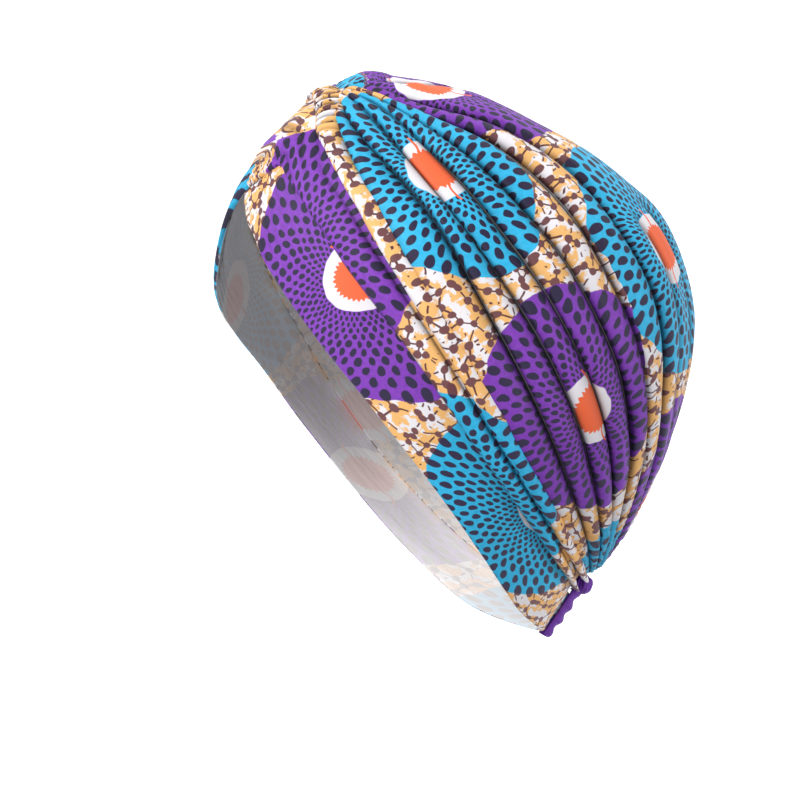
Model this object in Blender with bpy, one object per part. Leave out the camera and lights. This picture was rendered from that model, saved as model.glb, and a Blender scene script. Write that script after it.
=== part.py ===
"""Knotted turban in its worn form: a pleated crown framed by two bands that cross over the forehead.

Frame: +Z up, the wearer's face toward -Y and the wearer's left side toward +X. The origin is the
inside of the crown's top, where the head bears. Sizes are in millimetres, and the meshes in metres.

The crown is described on a dome about a straight chord from the front gather to the nape gather.
A station runs from 0 at the front gather to 1 at the nape, and an angle turns about the chord from
0 at the middle of the top. The bands lie on a ring below the crown's edge. A ring place runs from
-1 at the nape, along the wearer's right side to 0 over the nose, and along the left side to 1 at
the nape. Across the ring, a share runs from 0 at the hem to 1 at the crown's edge.
"""
import math

import bmesh
import bpy
import numpy as np

MM = 0.001
WALL = 2.0  # cloth with its fold behind it
LAYER_GAP = 0.4

# Middle plane points of the two gathers: x, y, z
FRONT_GATHER = np.array([0.0, -55.7, 2.9])
NAPE_GATHER = np.array([0.0, 71.8, -235.2])
CHORD_LENGTH = np.linalg.norm(NAPE_GATHER - FRONT_GATHER)
ALONG = (NAPE_GATHER - FRONT_GATHER) / CHORD_LENGTH
SIDE = np.array([1.0, 0.0, 0.0])
RISE = np.cross(SIDE, ALONG)

DOME_ROUNDNESS = 2.15
CROWN_SECTIONS = np.array([
    # station, rise of the top above the chord, half width
    (0.0, 0.0, 0.0),
    (0.1, 22.0, 25.0),
    (0.2, 47.5, 48.0),
    (0.3, 75.0, 69.0),
    (0.4, 99.0, 85.0),
    (0.5, 114.0, 94.0),
    (0.6, 106.5, 93.0),
    (0.7, 80.5, 79.0),
    (0.8, 47.5, 54.0),
    (0.9, 19.0, 26.0),
    (1.0, 0.0, 0.0),
])

# The creases between the pleats, in degrees from the middle of the top
CREASE_STATIONS = (0.0, 0.07, 0.15, 0.3, 0.5, 0.7, 0.9)
CREASES = (
    # name, angle at each station, depth over the front half, depth over the back half
    ("edge", (90, 86, 108, 107, 103, 101, 98), 1.0, 1.0),
    ("side_low", (80, 78, 102, 93, 92, 92, 91), 1.0, 1.0),
    ("side_mid", (70, 69, 88, 86, 82.5, 82.5, 83), 1.0, 1.0),
    ("side_high", (61, 61, 79, 75, 73.5, 74, 77), 1.0, 1.0),
    ("upper_low", (53, 54, 74, 64.5, 63, 63.5, 69), 0.8, 1.0),
    ("upper_high", (46, 47, 69, 50, 53, 56, 61), 1.2, 0.3),
    ("top", (36, 38, 60, 38, 40.5, 46, 50), 0.6, 0.9),
)
CREASE_DEPTH = 6.0
DEEPEST_SHARE = 0.45  # of a pleat's width, where the pleats crowd together
SHOULDER = 9.0  # radius of a pleat beside its crease
FLAT_REACH = 0.08  # stations from either gather over which the creases deepen
BACK_FROM = 0.35
BACK_TO = 0.65
GATHER_SINK = 7.0  # the crown's ends dive this far under the fold and the tuft
GATHER_REACH = 0.09
CROWN_ROWS = 28
PLEAT_SPLITS = (0.0, 0.2, 0.5, 0.8, 1.0)
TOP_SPLITS = (0.0, 0.06, 0.16, 0.33, 0.5, 0.67, 0.84, 0.94, 1.0)

HEM = (
    # station, left x, y, z, right x, y, z, swell of the ring between hem and crown
    (0.0, (0.0, -103.5, -68.1), (0.0, -103.5, -68.1), 8.0),
    (0.1, (23.0, -101.0, -67.6), (-17.0, -105.0, -93.6), 8.0),
    (0.2, (34.0, -94.5, -84.6), (-34.0, -99.0, -106.6), 6.0),
    (0.3, (46.0, -84.5, -104.6), (-47.0, -88.0, -118.6), 5.0),
    (0.4, (57.0, -71.5, -125.6), (-57.0, -73.0, -133.6), 3.0),
    (0.5, (66.0, -57.0, -145.6), (-66.0, -58.0, -150.6), 2.0),
    (0.6, (72.0, -39.0, -169.6), (-72.0, -39.0, -172.6), 1.5),
    (0.7, (73.5, -18.0, -196.6), (-73.5, -18.0, -197.6), 1.0),
    (0.8, (66.0, 2.0, -221.6), (-66.0, 2.0, -221.6), 1.0),
    (0.9, (43.0, 26.0, -247.6), (-43.0, 26.0, -247.6), 1.5),
    (1.0, (0.0, 48.3, -259.4), (0.0, 48.3, -259.4), 0.5),
)
HEAD_MIDDLE = np.array([0.0, -9.0, -119.6])
BAND_END = 0.996
BAND_ROWS = 53
BAND_COLUMNS = 8
OVERLAP_SHARE = 0.42  # on the right, the over band lies on the head below this share
OVERLAP_REACH = 0.2  # and comes down to it over this distance from the front

UNDER_BAND = np.array([
    # ring place, lower edge, upper edge, as shares across the ring
    (-1.0, 0.58, 0.84),
    (-0.9, 0.56, 0.94),
    (-0.5, 0.5, 0.96),
    (-0.2, 0.5, 0.96),
    (-0.1, 0.43, 0.96),
    (0.0, 0.3, 0.93),
    (0.05, 0.12, 0.96),
    (0.1, 0.02, 0.96),
    (0.2, 0.0, 0.96),
    (0.9, 0.0, 0.94),
    (1.0, 0.0, 0.84),
])
OVER_BAND = np.array([
    # ring place, lower edge, upper edge, as shares across the ring
    (-1.0, 0.0, 0.66),
    (-0.5, 0.0, 0.62),
    (-0.3, 0.0, 0.64),
    (-0.15, 0.0, 0.8),
    (-0.02, 0.0, 0.95),
    (0.03, 0.14, 0.94),
    (0.07, 0.24, 0.93),
    (0.1, 0.34, 0.93),
    (0.12, 0.46, 0.93),
    (0.2, 0.54, 0.93),
    (0.33, 0.54, 0.93),
    (0.45, 0.58, 0.93),
    (0.6, 0.615, 0.93),
    (0.75, 0.66, 0.93),
    (0.9, 0.74, 0.86),
    (1.0, 0.69, 0.73),
])
ROLLED_FOLD = np.array([
    # ring place, lower edge, upper edge, as shares across the ring
    (-1.0, 0.87, 0.93),
    (-0.9, 0.855, 0.965),
    (-0.75, 0.825, 0.985),
    (-0.5, 0.81, 0.985),
    (-0.3, 0.85, 0.995),
    (-0.2, 0.895, 0.995),
    (-0.12, 0.9, 0.99),
    (-0.04, 0.91, 1.0),
    (0.0, 0.94, 1.05),
    (0.04, 0.87, 0.99),
    (0.07, 0.81, 0.98),
    (0.12, 0.79, 0.98),
    (0.2, 0.85, 0.985),
    (0.3, 0.82, 0.985),
    (0.5, 0.81, 0.985),
    (0.75, 0.825, 0.985),
    (0.9, 0.855, 0.965),
    (1.0, 0.87, 0.93),
])
FOLD_HEIGHT = 4.6
FOLD_FEET = (4.9, 2.0)  # above the ring: on the over band, and beside the crown
FOLD_WALL = 1.7
FOLD_END = 0.965
FOLD_ROWS = 57
ARCH_COLUMNS = 7

SEAM_WIDTH = 6.0
SEAM_HEIGHT = 1.6
SEAM_WALL = 1.2
SEAM_SHARES = (0.0, 0.66)
SEAM_ROWS = 11

TUFT_RADII = (4.6, 3.6, 4.2)
TUFT_PLACE = np.array([0.0, -0.9, -2.2])  # from the nape gather
TUFT_LOBES = 5
LOBE_SHARE = 0.12
TUFT_TURNS = 16
TUFT_LEVELS = 9

PURPLE = (0.26, 0.06, 0.52)
TEAL = (0.03, 0.36, 0.6)
CREAM = (0.86, 0.74, 0.58)
CLOTH_ROUGHNESS = 0.7


def smooth(places, values, x):
    """Cubic curve through the values, its slope at each place taken from the neighbours."""
    places = np.asarray(places, float)
    values = np.asarray(values, float)
    slopes = np.gradient(values, places, axis=0)
    x = np.asarray(x, float)
    i = np.clip(np.searchsorted(places, x, side="right") - 1, 0, len(places) - 2)
    width = places[i + 1] - places[i]
    f = (x - places[i]) / width
    if values.ndim > 1:
        width = width[..., None]
        f = f[..., None]
    start = (2 * f**3 - 3 * f**2 + 1) * values[i] + (f**3 - 2 * f**2 + f) * width * slopes[i]
    end = (3 * f**2 - 2 * f**3) * values[i + 1] + (f**3 - f**2) * width * slopes[i + 1]
    return start + end


def ease(share):
    """0 to 1 with level ends."""
    share = np.clip(share, 0, 1)
    return share**2 * (3 - 2 * share)


def unit(vectors):
    return vectors / np.maximum(np.linalg.norm(vectors, axis=-1, keepdims=True), 1e-9)


def round_arch(across):
    """Height of a half circle over a width that runs from 0 to 1."""
    return np.sqrt(1 - (2 * across - 1) ** 2)


def dome(station, angle):
    """Superellipse sections about the chord, closed to a point at each gather."""
    station, angle = np.broadcast_arrays(np.asarray(station, float), np.asarray(angle, float))
    along = (1 - np.cos(math.pi * station)) / 2 * CHORD_LENGTH
    top = np.maximum(smooth(CROWN_SECTIONS[:, 0], CROWN_SECTIONS[:, 1], station), MM)
    half = np.maximum(smooth(CROWN_SECTIONS[:, 0], CROWN_SECTIONS[:, 2], station), MM)
    c = np.cos(angle)
    s = np.sin(angle)
    reach = (np.abs(c / top) ** DOME_ROUNDNESS + np.abs(s / half) ** DOME_ROUNDNESS) ** (
        -1 / DOME_ROUNDNESS
    )
    return (
        FRONT_GATHER
        + along[..., None] * ALONG
        + (reach * c)[..., None] * RISE
        + (reach * s)[..., None] * SIDE
    )


def dome_outward(station, angle):
    """The dome's normal, from the differences between points a small step apart."""
    step = 0.002
    station = np.clip(station, 1.5 * step, 1 - 1.5 * step)
    lengthways = dome(station + step, angle) - dome(station - step, angle)
    across = dome(station, angle + step) - dome(station, angle - step)
    normal = unit(np.cross(lengthways, across))
    out = dome(station, angle) - (FRONT_GATHER + NAPE_GATHER) / 2
    return normal * np.sign((normal * out).sum(-1, keepdims=True))


def crease_angle(row, station):
    return np.radians(smooth(CREASE_STATIONS, CREASES[row][1], station))


def crease_depth(row, station):
    back = np.clip((station - BACK_FROM) / (BACK_TO - BACK_FROM), 0, 1)
    share = CREASES[row][2] * (1 - back) + CREASES[row][3] * back
    ends = np.clip(np.minimum(station, 1 - station) / FLAT_REACH, 0, 1)
    return CREASE_DEPTH * share * ends


def gather_sink(station):
    return GATHER_SINK * ease(1 - np.minimum(station, 1 - station) / GATHER_REACH)


def crown_columns(station):
    """Angle and pleat depth for each column, from the left edge over the top to the right edge."""
    creases = [crease_angle(row, station) for row in range(len(CREASES))]
    depths = [crease_depth(row, station) for row in range(len(CREASES))]
    creases += [-angle for angle in reversed(creases)]
    depths += list(reversed(depths))
    angles = []
    drops = []
    reach = np.maximum(smooth(CROWN_SECTIONS[:, 0], CROWN_SECTIONS[:, 2], station), 1.0)
    for k in range(len(creases) - 1):
        shares = TOP_SPLITS if k == len(CREASES) - 1 else PLEAT_SPLITS
        width = np.abs(creases[k] - creases[k + 1]) * reach
        shoulder = np.minimum(width / 2, SHOULDER)
        for share in shares[:-1]:
            inside = np.clip(min(share, 1 - share) * width / shoulder, 0, 1)
            depth = depths[k] if share < 0.5 else depths[k + 1]
            depth = np.minimum(depth, DEEPEST_SHARE * width)
            angles.append(creases[k] * (1 - share) + creases[k + 1] * share)
            drops.append(depth * (1 - np.sqrt(1 - (1 - inside) ** 2)))
    angles.append(creases[-1])
    drops.append(np.minimum(depths[-1], DEEPEST_SHARE * width))
    return np.stack(angles, axis=-1), np.stack(drops, axis=-1)


def crown_edge(ring):
    """The foot of the crown's lowest pleat, on the left side for a ring place above 0."""
    station = np.abs(ring)
    angle = crease_angle(0, station)
    sink = gather_sink(station) + crease_depth(0, station)
    foot = dome(station, angle) - sink[..., None] * dome_outward(station, angle)
    foot[..., 0] *= np.where(np.asarray(ring) < 0, -1.0, 1.0)
    return foot


def hem_curve(ring):
    """The hem, with each end of its table carried on by the point that follows on the other side."""
    left = [row[1] for row in HEM]
    right = [row[2] for row in HEM]
    stations = [row[0] for row in HEM]
    places = [-s for s in reversed(stations)] + stations[1:]
    points = right[::-1] + left[1:]
    pitch = places[-1] - places[-2]
    places = [places[0] - pitch] + places + [places[-1] + pitch]
    points = [left[-2]] + points + [right[-2]]
    return smooth(places, points, ring)


def ring_form(ring, share, lift):
    """The ring's surface, moved outward by the lift: hem to crown edge in straight lines, swelled."""
    ring, share, lift = np.broadcast_arrays(
        np.asarray(ring, float), np.asarray(share, float), np.asarray(lift, float)
    )
    hem = hem_curve(ring)
    line = crown_edge(ring) - hem
    point = hem + share[..., None] * line
    out = point - HEAD_MIDDLE
    along_line = unit(line)
    out = unit(out - (out * along_line).sum(-1, keepdims=True) * along_line)
    swell = smooth([row[0] for row in HEM], [row[3] for row in HEM], np.abs(ring))
    rise = swell * 4 * share * (1 - share) + lift
    return point + rise[..., None] * out


def under_lift(ring, share):
    """The under band lies on the head all round."""
    return np.zeros(np.broadcast_shapes(np.shape(ring), np.shape(share)))


def over_lift(ring, share):
    """The over band lies on the under band, and on the right its lower part on the head."""
    ring, share = np.broadcast_arrays(np.asarray(ring, float), np.asarray(share, float))
    lowered = 1 - ease(share / OVERLAP_SHARE)
    return (WALL + LAYER_GAP) * (1 - lowered * np.clip(-ring / OVERLAP_REACH, 0, 1))


def cloth_material(name, colour):
    material = bpy.data.materials.new(name)
    material.use_nodes = True
    shader = material.node_tree.nodes["Principled BSDF"]
    shader.inputs["Base Color"].default_value = (*colour, 1.0)
    shader.inputs["Roughness"].default_value = CLOTH_ROUGHNESS
    shader.inputs["Metallic"].default_value = 0.0
    material.diffuse_color = (*colour, 1.0)
    return material


def mesh_object(name, points, faces, colour):
    """An object from points in millimetres, with points that meet joined into one."""
    mesh = bpy.data.meshes.new(name)
    mesh.from_pydata((points * MM).tolist(), [], faces)
    work = bmesh.new()
    work.from_mesh(mesh)
    bmesh.ops.remove_doubles(work, verts=work.verts, dist=1e-6)
    bmesh.ops.recalc_face_normals(work, faces=work.faces)
    work.to_mesh(mesh)
    work.free()
    mesh.shade_smooth()
    mesh.materials.append(cloth_material(name, colour))
    thing = bpy.data.objects.new(name, mesh)
    bpy.context.scene.collection.objects.link(thing)
    return thing


def shell(name, outer, inner, colour):
    """A closed wall between two grids of points, joined along their four borders."""
    rows, columns = outer.shape[:2]
    count = rows * columns
    points = np.concatenate([outer.reshape(-1, 3), inner.reshape(-1, 3)])
    faces = []
    for r in range(rows - 1):
        for c in range(columns - 1):
            a = r * columns + c
            quad = (a, a + 1, a + columns + 1, a + columns)
            faces.append(quad)
            faces.append(tuple(i + count for i in reversed(quad)))
    top = list(range(columns))
    right = [r * columns + columns - 1 for r in range(1, rows)]
    bottom = [(rows - 1) * columns + c for c in range(columns - 2, -1, -1)]
    left = [r * columns for r in range(rows - 2, 0, -1)]
    border = top + right + bottom + left
    for a, b in zip(border, border[1:] + border[:1]):
        faces.append((b, a, a + count, b + count))
    return mesh_object(name, points, faces, colour)


def make_crown():
    """The pleated cap: the dome, lowered into its creases and drawn together at both gathers."""
    stations = np.linspace(0, 1, CROWN_ROWS)
    angles, drops = crown_columns(stations)
    station = np.broadcast_to(stations[:, None], angles.shape)
    out = dome_outward(station, angles)
    drop = (drops + gather_sink(station))[..., None]
    outer = dome(station, angles) - drop * out
    inner = outer - WALL * out
    for grid in (outer, inner):
        grid[0] = grid[0].mean(axis=0)
        grid[-1] = grid[-1].mean(axis=0)
    shell("crown", outer, inner, PURPLE)


def make_band(name, edges, lift_at, colour):
    """A band on the ring, between the two edges of its table."""
    ring = np.linspace(-BAND_END, BAND_END, BAND_ROWS)[:, None]
    low = np.interp(ring, edges[:, 0], edges[:, 1])
    high = np.interp(ring, edges[:, 0], edges[:, 2])
    share = low + (high - low) * np.linspace(0, 1, BAND_COLUMNS)
    lift = lift_at(ring, share)
    inner = ring_form(ring, share, lift)
    outer = ring_form(ring, share, lift + WALL)
    shell(name, outer, inner, colour)


def make_rolled_fold():
    """A round arch of cloth with one foot on the over band and the other beside the crown."""
    ring = np.linspace(-FOLD_END, FOLD_END, FOLD_ROWS)[:, None]
    low = smooth(ROLLED_FOLD[:, 0], ROLLED_FOLD[:, 1], ring)
    high = smooth(ROLLED_FOLD[:, 0], ROLLED_FOLD[:, 2], ring)
    across = (1 - np.cos(np.linspace(0, math.pi, ARCH_COLUMNS))) / 2
    share = low + (high - low) * across
    feet = FOLD_FEET[0] * (1 - across) + FOLD_FEET[1] * across
    lift = feet + (FOLD_HEIGHT - FOLD_WALL) * round_arch(across)
    inner = ring_form(ring, share, lift)
    outer = ring_form(ring, share, lift + FOLD_WALL)
    shell("rolled_fold", outer, inner, CREAM)


def make_nape_seam():
    """A low ridge over the place where the bands' ends meet."""
    share = np.linspace(*SEAM_SHARES, SEAM_ROWS)[:, None]
    across = np.linspace(0, 1, ARCH_COLUMNS)
    base = ring_form(1.0, share, 0.0)
    out = unit(ring_form(1.0, share, 1.0) - base)
    feet = WALL + LAYER_GAP + over_lift(-1.0, share) * across
    lift = (feet + (SEAM_HEIGHT - SEAM_WALL) * round_arch(across))[..., None]
    sideways = ((0.5 - across) * SEAM_WIDTH)[None, :, None] * SIDE
    inner = base + sideways + lift * out
    outer = inner + SEAM_WALL * out
    shell("nape_seam", outer, inner, PURPLE)


def make_nape_tuft():
    """A small ball of gathered cloth with a few lobes round it."""
    polar = np.linspace(0, math.pi, TUFT_LEVELS)[1:-1, None]
    turn = np.linspace(0, 2 * math.pi, TUFT_TURNS, endpoint=False)
    lobe = 1 + LOBE_SHARE * np.cos(TUFT_LOBES * turn) * np.sin(polar)
    ball = np.stack([
        TUFT_RADII[0] * lobe * np.sin(polar) * np.cos(turn),
        TUFT_RADII[1] * lobe * np.sin(polar) * np.sin(turn),
        TUFT_RADII[2] * np.cos(polar) * np.ones_like(turn),
    ], axis=-1).reshape(-1, 3)
    ends = np.array([(0, 0, TUFT_RADII[2]), (0, 0, -TUFT_RADII[2])])
    points = np.concatenate([ball, ends]) + NAPE_GATHER + TUFT_PLACE
    faces = []
    for level in range(TUFT_LEVELS - 3):
        for k in range(TUFT_TURNS):
            a = level * TUFT_TURNS + k
            b = level * TUFT_TURNS + (k + 1) % TUFT_TURNS
            faces.append((a, a + TUFT_TURNS, b + TUFT_TURNS, b))
    last = (TUFT_LEVELS - 3) * TUFT_TURNS
    for k in range(TUFT_TURNS):
        after = (k + 1) % TUFT_TURNS
        faces.append((len(ball), k, after))
        faces.append((len(ball) + 1, last + after, last + k))
    mesh_object("nape_tuft", points, faces, PURPLE)


for leftover in list(bpy.data.objects):
    bpy.data.objects.remove(leftover)
make_crown()
make_band("under_band", UNDER_BAND, under_lift, TEAL)
make_band("over_band", OVER_BAND, over_lift, PURPLE)
make_rolled_fold()
make_nape_seam()
make_nape_tuft()
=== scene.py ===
import math

import bmesh
import bpy
import numpy as np
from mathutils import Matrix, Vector


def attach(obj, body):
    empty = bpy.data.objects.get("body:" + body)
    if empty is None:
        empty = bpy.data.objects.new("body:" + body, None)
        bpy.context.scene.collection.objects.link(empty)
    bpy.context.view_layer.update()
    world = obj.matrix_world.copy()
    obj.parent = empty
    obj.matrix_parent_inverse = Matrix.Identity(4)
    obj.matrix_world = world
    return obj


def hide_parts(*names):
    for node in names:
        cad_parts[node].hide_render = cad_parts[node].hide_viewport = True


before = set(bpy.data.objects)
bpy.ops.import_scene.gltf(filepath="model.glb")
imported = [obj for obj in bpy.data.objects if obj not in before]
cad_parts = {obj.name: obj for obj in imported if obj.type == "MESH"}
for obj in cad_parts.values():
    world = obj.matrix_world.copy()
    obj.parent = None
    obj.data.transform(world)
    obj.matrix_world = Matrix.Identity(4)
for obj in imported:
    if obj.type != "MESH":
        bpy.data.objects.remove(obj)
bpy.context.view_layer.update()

# Crown: one panel of thin printed stretch knit, drawn up by gathering stitches at the forehead and
# at the nape. Between them it lies in twelve long folds, six a side, each lapped over the one below
# it. A broad smooth strip runs along the top, with three narrow tucks laid into it.
MM = 0.001
FRONT_GATHER = np.array([0.0, -55.7, 2.9])
NAPE_GATHER = np.array([0.0, 71.8, -235.2])
CHORD_LENGTH = np.linalg.norm(NAPE_GATHER - FRONT_GATHER)
ALONG = (NAPE_GATHER - FRONT_GATHER) / CHORD_LENGTH
SIDE = np.array([1.0, 0.0, 0.0])
RISE = np.cross(SIDE, ALONG)
DOME_ROUNDNESS = 2.15
CROWN_SECTIONS = np.array([
    # station, rise of the top above the chord, half width
    (0.0, 0.0, 0.0),
    (0.1, 22.0, 25.0),
    (0.2, 47.5, 48.0),
    (0.3, 75.0, 69.0),
    (0.4, 99.0, 85.0),
    (0.5, 114.0, 94.0),
    (0.6, 106.5, 93.0),
    (0.7, 80.5, 79.0),
    (0.8, 47.5, 54.0),
    (0.9, 19.0, 26.0),
    (1.0, 0.0, 0.0),
])
CREASE_STATIONS = (0.0, 0.07, 0.15, 0.3, 0.5, 0.7, 0.9)
CREASES = (
    # degrees from the middle of the top at each station, depth in front, depth at the back, and
    # the place on the flat cloth of the fold above the crease, in front and at the back, in mm
    # from the printed column
    ((103, 110, 111.5, 109, 104.5, 102.5, 100), 0.8, 0.8, -41.0, -41.0),
    ((94, 99, 102, 93, 92, 92, 91), 1.0, 1.0, -16.0, -24.0),
    ((86, 92, 88, 86, 82.5, 82.5, 83), 1.0, 1.0, 0.0, -3.5),
    ((80, 85, 79, 75, 73.5, 74, 77), 1.0, 1.0, 27.0, 22.0),
    ((75, 80, 74, 64.5, 63, 63.5, 69), 0.8, 1.0, 52.0, 47.0),
    ((71, 75, 69, 50, 53, 56, 61), 1.2, 0.4, 73.0, 66.0),
    ((63, 66, 60, 38, 40.5, 46, 50), 0.6, 0.9, 97.0, 97.0),
)
CREASE_DEPTH = 8.5
DEEPEST_SHARE = 0.5  # of a fold's width, where the folds crowd together
FLAT_REACH = 0.06  # stations from either gather over which the creases deepen
BACK_FROM = 0.35  # stations over which a crease's depth changes from the front to the back
BACK_TO = 0.65
LAP_RADIUS = 3.6  # of a fold's lower edge, which laps over the fold below
LAP_MOST = 0.45  # of the width of a narrow fold
LAP_OVERHANG = 1.5
SLOPE_RADIUS = 12.0  # of its upper side, which slips under the fold above
# Painted shade: the print's colour is darkened toward the bottom of each crease.
LAP_SHADE = 1.1  # mm over which the painted shade of a crease fades
SLOPE_SHADE = 2.6
FULL_SHADE_DEPTH = 6.0  # a crease as deep as this gets fully dark painted shade
GATHER_SINK = 7.0
GATHER_REACH = 0.09
CROWN_WALL = 1.8
CROWN_ROWS = 181
FOLD_SHARES = np.array(  # columns of points, close together at the lapping edge
    [0, 0.02, 0.05, 0.09, 0.14, 0.2, 0.28, 0.38, 0.5, 0.62, 0.73, 0.83, 0.91, 0.97])
STRIP_EDGE = np.array([0, 0.004, 0.01, 0.02, 0.034, 0.052, 0.075])
STRIP_COLUMNS = 67
TUCKS = (
    # on the strip's left half: stations where each starts and ends, its share across the strip at
    # both, and the cloth hidden in it, in mm, counted to its lower and to its upper side
    (0.1, 0.27, 0.035, 0.5, 0.0, 12.0),
    (0.45, 0.96, 0.1, 0.08, 8.0, 0.0),
    (0.44, 0.96, 0.225, 0.2, 0.0, 9.0),
)
TUCK_DEPTH = 1.3
TUCK_SPREAD = 1.7
TUCK_FADE = 0.04  # stations over which a tuck comes, and goes again
# painted shade along the bottom of a tuck
TUCK_SHADE = 0.75
RIGHT_FOLDS = (276.0, 301.0, 327.0, 353.0, 377.0, 399.0)  # the same places on the right, from the top
SHIFTS_FROM = 0.35  # stations over which the folds' places change from the front to the back
SHIFTS_TO = 0.5
GATHERED_SHARE = 0.6  # of a side fold's place across the cloth, where the gather draws it in
GATHERED_TO = 0.28
ROW_PITCH = 141.5  # from medallion to medallion along the crown
MEDALLION = 63.5
TEAL_EYE_ALONG = 90.3  # from the front gather to the teal medallion on the side
JOIN_ALONG = 17.0  # from the front gather to the join across the strip, at the middle
JOIN_SLANT = 0.35  # mm further back for each degree past the join's bend
JOIN_BEND = 37.0
NO_JOIN = 99.0  # the distance noted where no join crosses the cloth
PATCH_SHIFT = (133.0, 12.0)  # the piece in front of the join is cut from another place
NAPE_TAKEN_UP = 9.0  # mm of cloth in small cross puckers toward the nape
NAPE_FROM = 0.62
NAPE_TO = 0.76
PUCKER_PITCH = 4.4
PUCKER_DEPTH = 0.8
PUCKER_SLANT = 0.6  # mm along the cloth for each mm across it
PUCKER_SWAY = 1.3
PUCKER_SWAY_SIZE = 3.0
PUCKERS_FROM = 0.74
PUCKERS_IN = 0.09  # stations over which the puckers deepen
PUCKERS_TO = 0.975
PUCKERS_OUT = 0.03
WRINKLE_ALONG = 61.0  # a short cross wrinkle on the lowest left fold
WRINKLE_ANGLE = 101.0
WRINKLE_SLANT = 0.9  # mm along the cloth for each degree
WRINKLE_HALF_WIDTH = 1.3
WRINKLE_HALF_LENGTH = 3.5  # in degrees
WRINKLE_DEPTH = 2.2
SLACK_HEIGHT = 0.8  # of the broad soft waves in the whole panel
SLACK_SIZE = 60.0
PULL_HEIGHT = 0.2  # of the fine lines along the cloth
PULL_HEIGHT_GATHERED = 0.5  # more of it toward the gathers
PULL_REACH = 0.35
PULL_SIZE = 6.5
PULL_LENGTH = 7.0  # a line is this many times longer than wide
SOFT_SHADE = 0.5  # share of the full painted shade, in the wrinkle and the puckers


def smooth(places, values, x):
    """Cubic curve through the values, its slope at each place taken from the neighbours."""
    places = np.asarray(places, float)
    values = np.asarray(values, float)
    slopes = np.gradient(values, places, axis=0)
    x = np.asarray(x, float)
    i = np.clip(np.searchsorted(places, x, side="right") - 1, 0, len(places) - 2)
    width = places[i + 1] - places[i]
    f = (x - places[i]) / width
    if values.ndim > 1:
        width = width[..., None]
        f = f[..., None]
    start = (2 * f**3 - 3 * f**2 + 1) * values[i] + (f**3 - 2 * f**2 + f) * width * slopes[i]
    end = (3 * f**2 - 2 * f**3) * values[i + 1] + (f**3 - f**2) * width * slopes[i + 1]
    return start + end


def ease(share):
    """0 to 1 with level ends: 3 shares squared less 2 shares cubed."""
    share = np.clip(share, 0, 1)
    return share**2 * (3 - 2 * share)


def bell(x, middle, reach):
    """1 at the middle, falling away on both sides: e to the power of less the square of the
    distance in reaches."""
    return np.exp(-((x - middle) / reach) ** 2)


def unit(vectors):
    """Each vector over its own length."""
    return vectors / np.maximum(np.linalg.norm(vectors, axis=-1, keepdims=True), 1e-9)


def quarter_round(distance, radius):
    """How far a quarter circle has still to rise, from 1 at its foot to 0 one radius in."""
    away = 1 - np.clip(distance / radius, 0, 1)
    return 1 - np.sqrt(1 - away**2)


def ripple(along, across, size, seed):
    """Sum of six sine waves in scattered directions, each about one size long."""
    draw = np.random.default_rng(seed)
    total = 0.0
    for turn, phase, stretch in zip(draw.uniform(0, 3.14, 6), draw.uniform(0, 6.28, 6),
                                    draw.uniform(0.7, 1.5, 6)):
        way = along * math.cos(turn) + across * math.sin(turn)
        total = total + np.sin(2 * math.pi * way / (size * stretch) + phase)
    return total / 3


def dome(station, angle):
    """Superellipse sections about the chord, closed to a point at each gather.

    A point's share along the chord is half of one less the cosine of its station. Its rise over
    the top's rise and its side over the half width, each to the power of the roundness, add up to
    one."""
    station, angle = np.broadcast_arrays(np.asarray(station, float), np.asarray(angle, float))
    along = (1 - np.cos(math.pi * station)) / 2 * CHORD_LENGTH
    top = np.maximum(smooth(CROWN_SECTIONS[:, 0], CROWN_SECTIONS[:, 1], station), 0.001)
    half = np.maximum(smooth(CROWN_SECTIONS[:, 0], CROWN_SECTIONS[:, 2], station), 0.001)
    c = np.cos(angle)
    s = np.sin(angle)
    reach = (np.abs(c / top) ** DOME_ROUNDNESS + np.abs(s / half) ** DOME_ROUNDNESS) ** (
        -1 / DOME_ROUNDNESS
    )
    return (
        FRONT_GATHER
        + along[..., None] * ALONG
        + (reach * c)[..., None] * RISE
        + (reach * s)[..., None] * SIDE
    )


def dome_outward(station, angle):
    """The dome's normal, from the differences between points a small step apart."""
    step = 0.002
    station = np.clip(station, 1.5 * step, 1 - 1.5 * step)
    lengthways = dome(station + step, angle) - dome(station - step, angle)
    across = dome(station, angle + step) - dome(station, angle - step)
    normal = unit(np.cross(lengthways, across))
    out = dome(station, angle) - (FRONT_GATHER + NAPE_GATHER) / 2
    return normal * np.sign((normal * out).sum(-1, keepdims=True))


def crease_depth(row, station):
    """Depth of a crease: the table's share of the full depth, fading out at both gathers."""
    back = np.clip((station - BACK_FROM) / (BACK_TO - BACK_FROM), 0, 1)
    share = CREASES[row][1] * (1 - back) + CREASES[row][2] * back
    ends = np.clip(np.minimum(station, 1 - station) / FLAT_REACH, 0, 1)
    return CREASE_DEPTH * share * ends


def gather_sink(station):
    """How far the ends dive under the rolled fold and the tuft, eased away from each gather."""
    return GATHER_SINK * ease(1 - np.minimum(station, 1 - station) / GATHER_REACH)


def spread(x, y, z):
    """Three sets of numbers, each spread over the whole grid, as one grid of triples."""
    return np.stack(np.broadcast_arrays(x, y, z), axis=-1)


def grid_faces(rows, columns):
    """The number of each point of a grid, counted row by row, and the corners of each square."""
    number = np.arange(rows * columns).reshape(rows, columns)
    corners = (number[:-1, :-1], number[:-1, 1:], number[1:, 1:], number[1:, :-1])
    return number, np.stack(corners, axis=-1).reshape(-1, 4)


def keep_places(mesh, cloth):
    """Notes in the mesh where each of its points lies on the flat cloth."""
    places = mesh.attributes.new("cloth", "FLOAT_VECTOR", "POINT")
    places.data.foreach_set("vector", cloth.astype(np.float32).ravel())


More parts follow.
